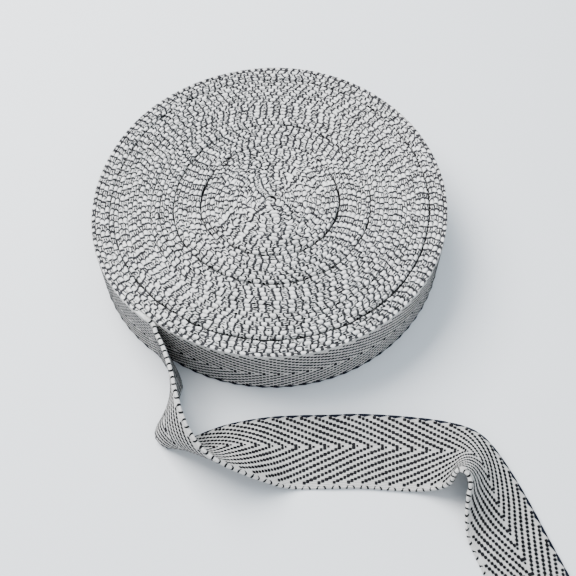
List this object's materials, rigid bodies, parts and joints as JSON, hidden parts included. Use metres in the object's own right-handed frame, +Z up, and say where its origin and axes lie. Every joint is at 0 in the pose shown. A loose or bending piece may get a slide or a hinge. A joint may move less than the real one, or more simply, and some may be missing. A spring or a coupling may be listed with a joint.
{
  "type": "roll of binding tape",
  "caption": "Flat roll of herringbone binding tape wound on edge, with its loose end lying in front, folded over and buckled into a small arch.",
  "frame": {"origin": "on the surface the roll lies on, under the roll's centre", "axes": "+Z up, along the axis the tape is wound about; the loose end lies towards -Y and +X"},
  "size_m": [0.2005, 0.2628, 0.0302],
  "materials": {
    "roll_cloth": "matte",
    "tail_cloth": "matte"
  },
  "bodies": {
    "root": {"wound_roll": "roll_cloth", "loose_end": "tail_cloth"}
  },
  "joints": []
}
